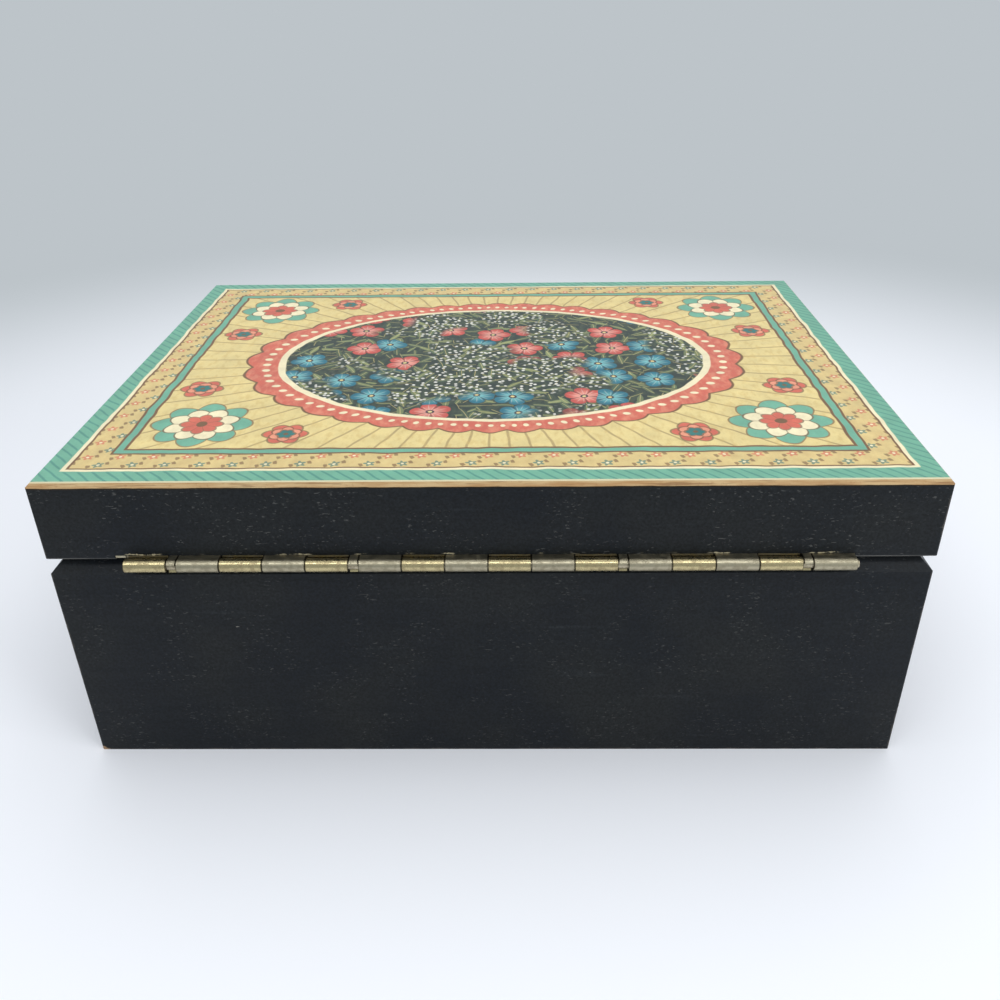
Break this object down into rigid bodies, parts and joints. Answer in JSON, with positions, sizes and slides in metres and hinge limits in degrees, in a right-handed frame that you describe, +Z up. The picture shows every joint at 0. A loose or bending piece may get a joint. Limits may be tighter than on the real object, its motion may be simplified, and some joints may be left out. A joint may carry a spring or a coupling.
{
  "type": "music box",
  "caption": "Rectangular wooden music box with a hinged, printed lid, lined wells and a comb movement under a clear cover.",
  "frame": {"origin": "on the table, under the middle of the whole box with its hinge barrel", "axes": "+Z up, hinge at the back towards +Y, +X along the hinge to the right seen from the front"},
  "size_m": [0.19, 0.1421, 0.0735],
  "materials": {
    "black_paint": "satin black paint on wood",
    "panel_board": "sanded board edge, sides painted black",
    "printed_sheet": "satin print",
    "plain_wood": "bare plywood",
    "felt": "flocked felt",
    "clear_cover": "clear acrylic sheet",
    "hinge_brass": "worn brass",
    "hinge_grey": "worn plated steel",
    "hinge_pin_steel": "drawn steel wire",
    "cast_metal": "cast metal",
    "screw_steel": "plated steel",
    "comb_steel": "ground steel",
    "movement_brass": "bright brass",
    "arbor_steel": "turned steel",
    "key_metal": "plated key",
    "governor_plastic": "moulded plastic"
  },
  "bodies": {
    "case": {"base_back_board": "black_paint", "base_front_board": "black_paint", "base_left_board": "black_paint", "base_right_board": "black_paint", "floor_board": "plain_wood", "long_divider": "plain_wood", "cross_divider": "plain_wood", "cover_cleats": "plain_wood", "movement_cover": "clear_cover", "large_well_floor_felt": "felt", "large_well_wall_felts": "felt", "small_well_floor_felt": "felt", "small_well_wall_felts": "felt", "hinge_base_leaf": "hinge_brass", "hinge_base_screws": "hinge_brass", "hinge_pin": "hinge_pin_steel", "bedplate": "cast_metal", "mounting_screws": "screw_steel", "comb": "comb_steel", "comb_screws": "screw_steel", "cylinder_bracket": "movement_brass", "frame_screws": "screw_steel", "governor_frame": "movement_brass"},
    "lid": {"lid_back_rail": "black_paint", "lid_front_rail": "black_paint", "lid_left_rail": "black_paint", "lid_right_rail": "black_paint", "lid_panel": "panel_board", "lid_print": "printed_sheet", "lid_lining": "felt", "hinge_lid_leaf": "hinge_grey", "hinge_lid_screws": "hinge_grey"},
    "cylinder_unit": {"cylinder": "movement_brass", "cylinder_cap": "movement_brass", "cylinder_pinion": "movement_brass", "cylinder_wheel": "movement_brass", "cylinder_arbor": "arbor_steel"},
    "barrel_unit": {"spring_barrel": "movement_brass", "barrel_cover": "movement_brass", "mainspring": "arbor_steel"},
    "winding_unit": {"winding_arbor": "arbor_steel", "arbor_collar": "screw_steel", "winding_key": "key_metal"},
    "governor_unit": {"governor_arbor": "arbor_steel", "governor_wheel": "movement_brass"},
    "fan_unit": {"governor_worm": "governor_plastic", "air_fan": "governor_plastic"},
    "stop_unit": {"stop_rod": "arbor_steel"}
  },
  "joints": [
    {"name": "lid_hinge", "type": "hinge", "parent": "case", "child": "lid", "pos_m": [0, 0.06955, 0.05445], "axis": [-1, 0, 0], "range_deg": [0, 100]},
    {"name": "stop_slide", "type": "slide", "parent": "case", "child": "stop_unit", "axis": [0, 0, 1], "range_m": [0, 0.0025]},
    {"name": "barrel_turn", "type": "hinge", "parent": "case", "child": "barrel_unit", "pos_m": [0.0595, 0.0145, 0.0253], "axis": [0, 0, 1], "continuous": true},
    {"name": "cylinder_turn", "type": "hinge", "parent": "case", "child": "cylinder_unit", "pos_m": [0.0595, 0.0382, 0.0296], "axis": [0, 1, 0], "continuous": true},
    {"name": "governor_turn", "type": "hinge", "parent": "case", "child": "governor_unit", "pos_m": [0.05153, 0.0527, 0.026], "axis": [0, 1, 0], "continuous": true},
    {"name": "fan_turn", "type": "hinge", "parent": "case", "child": "fan_unit", "pos_m": [0.04652, 0.0527, 0.0302], "axis": [0, 0, 1], "continuous": true},
    {"name": "winding_turn", "type": "hinge", "parent": "case", "child": "winding_unit", "pos_m": [0.0595, 0.0145, 0.015], "axis": [0, 0, 1], "continuous": true}
  ],
  "couplings": [
    {"joint": "stop_slide", "follows": "lid_hinge", "m_per_rad": 0.0014324},
    {"joint": "cylinder_turn", "follows": "barrel_turn", "ratio": 3.1667},
    {"joint": "governor_turn", "follows": "barrel_turn", "ratio": -12.667},
    {"joint": "fan_turn", "follows": "barrel_turn", "ratio": 228}
  ]
}
